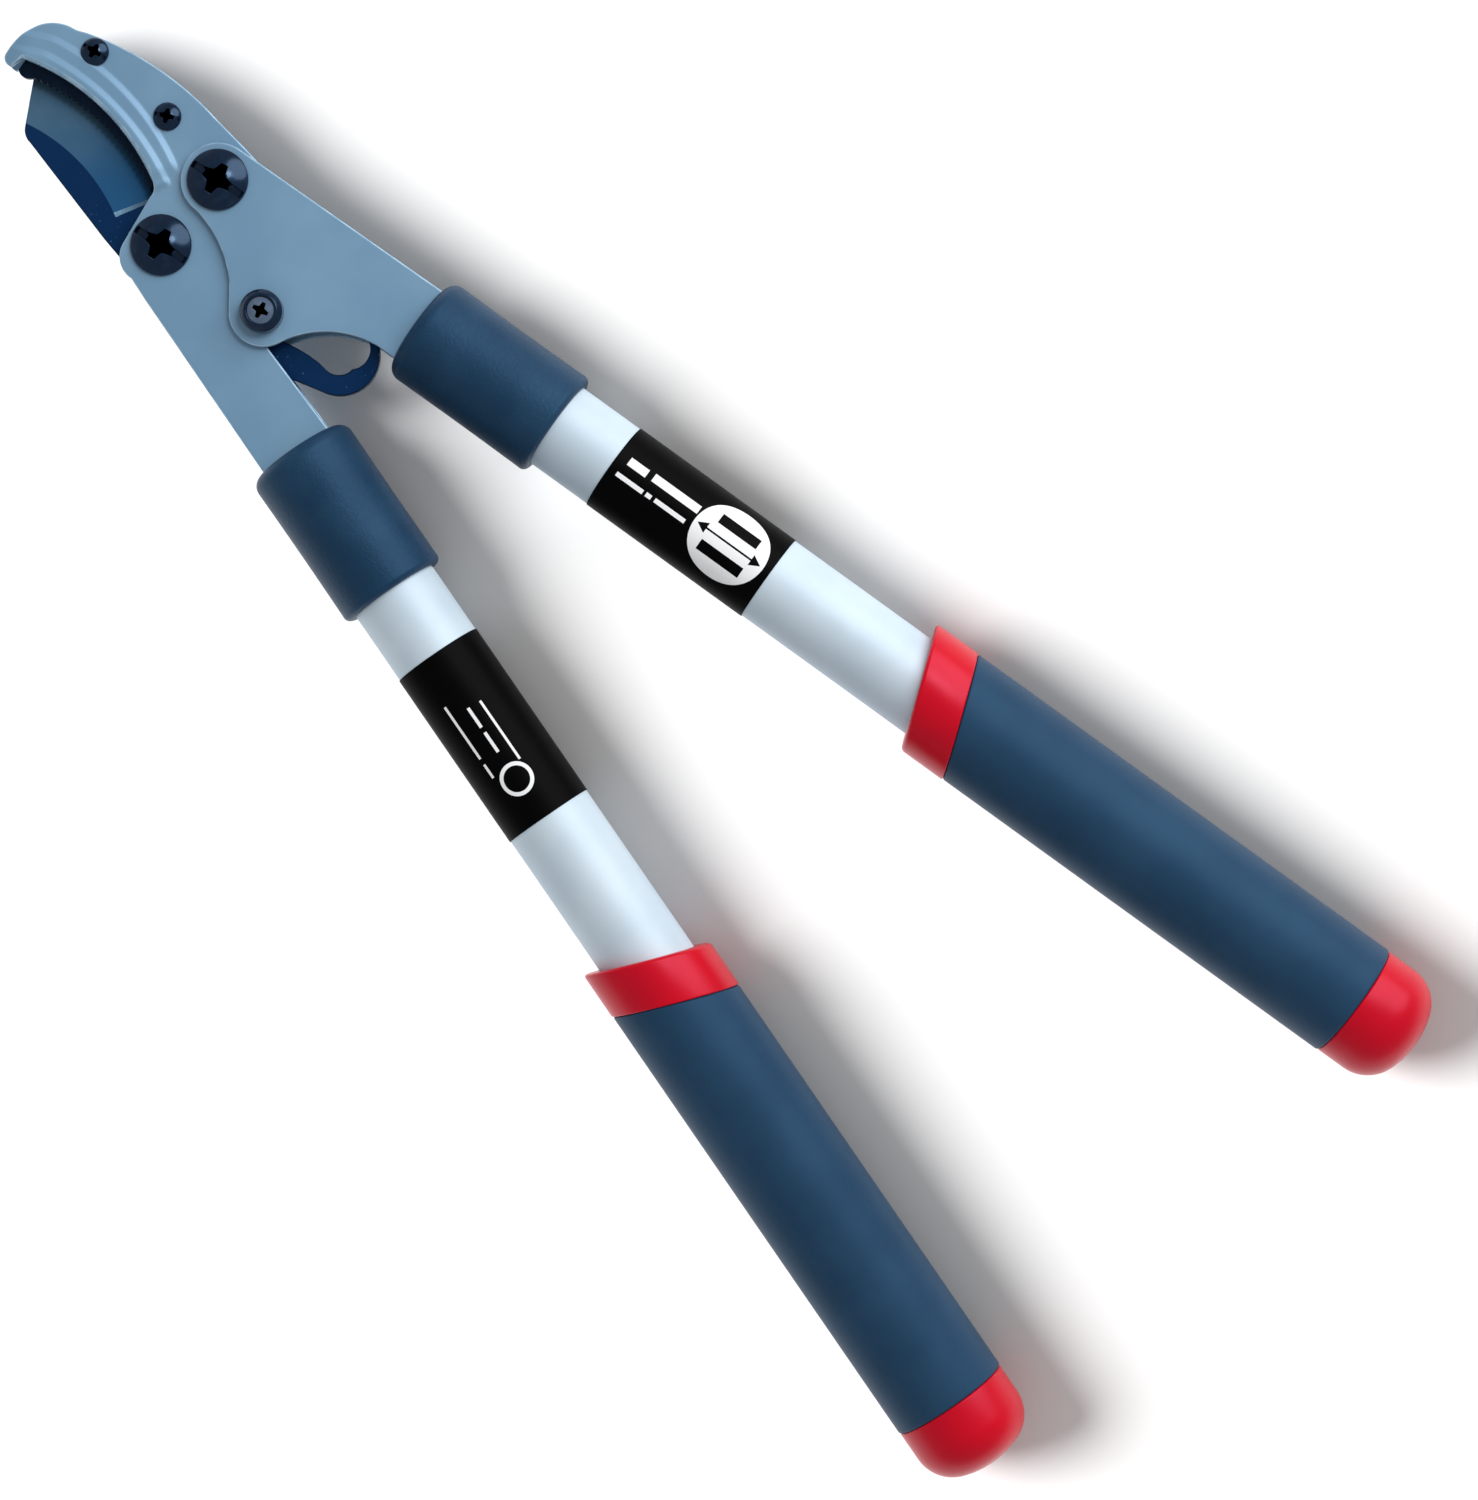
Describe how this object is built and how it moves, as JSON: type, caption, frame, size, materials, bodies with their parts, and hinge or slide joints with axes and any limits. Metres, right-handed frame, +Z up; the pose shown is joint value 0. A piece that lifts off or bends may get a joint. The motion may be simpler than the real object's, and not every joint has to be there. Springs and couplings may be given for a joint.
{
  "type": "bypass loppers",
  "caption": "Long-handled bypass loppers with a hooked counter blade, lever-driven cutting blade, tubular handles and rubber grips.",
  "frame": {"origin": "middle of the underside of the whole tool, closed and lying flat on its grips", "axes": "+Y along the tool from the grips to the hook, +Z up out of the face with the bolt heads, +X towards the moving arm"},
  "size_m": [0.1898, 0.4632, 0.0336],
  "materials": {
    "plate_steel": "satin blue-grey coating",
    "blade_steel": "dark coated steel with a ground bevel",
    "counter_steel": "black hardened steel, toothed",
    "black_fastener": "glossy black",
    "plain_steel": "turned",
    "nylon": "natural nylon",
    "tube_aluminium": "satin anodised",
    "sleeve_rubber": "textured matt",
    "label_film": "printed black film",
    "grip_red": "gloss",
    "grip_rubber": "soft matt"
  },
  "bodies": {
    "hook_frame": {"hook_plate_front": "plate_steel", "hook_plate_rear": "plate_steel", "counter_blade": "counter_steel", "hook_spacer": "black_fastener", "hook_screws": "black_fastener", "hook_screw_nuts": "black_fastener", "blade_pivot_bolt": "black_fastener", "blade_pivot_bush": "plain_steel", "blade_pivot_washers": "nylon", "blade_pivot_nut": "black_fastener", "arm_pivot_bolt": "black_fastener", "arm_pivot_bush": "plain_steel", "arm_pivot_washers": "nylon", "arm_pivot_nut": "black_fastener", "left_tube": "tube_aluminium", "left_tube_insert": "nylon", "left_tube_rivets": "plain_steel", "left_sleeve": "sleeve_rubber", "left_label": "label_film", "left_grip_core": "grip_red", "left_grip_cover": "grip_rubber"},
    "blade": {"blade": "blade_steel"},
    "right_arm": {"arm_plate_front": "plate_steel", "arm_plate_rear": "plate_steel", "drive_pin": "black_fastener", "drive_pin_collar": "black_fastener", "drive_pin_screw": "black_fastener", "drive_pin_spacers": "plain_steel", "right_tube": "tube_aluminium", "right_tube_insert": "nylon", "right_tube_rivets": "plain_steel", "right_sleeve": "sleeve_rubber", "right_label": "label_film", "right_grip_core": "grip_red", "right_grip_cover": "grip_rubber"},
    "drive_roller": {"drive_roller": "plain_steel"}
  },
  "joints": [
    {"name": "arm_pivot", "type": "hinge", "parent": "hook_frame", "child": "right_arm", "pos_m": [0.01249, 0.16509, 0.0168], "axis": [0, 0, 1], "range_deg": [0, 65]},
    {"name": "blade_pivot", "type": "hinge", "parent": "hook_frame", "child": "blade", "pos_m": [-0.01101, 0.16369, 0.0168], "axis": [0, 0, 1], "range_deg": [0, 45.5]},
    {"name": "roller_spin", "type": "hinge", "parent": "right_arm", "child": "drive_roller", "pos_m": [-0.00391, 0.13079, 0.0168], "axis": [0, 0, 1], "continuous": true}
  ],
  "couplings": [
    {"joint": "blade_pivot", "follows": "arm_pivot", "ratio": 0.7}
  ]
}
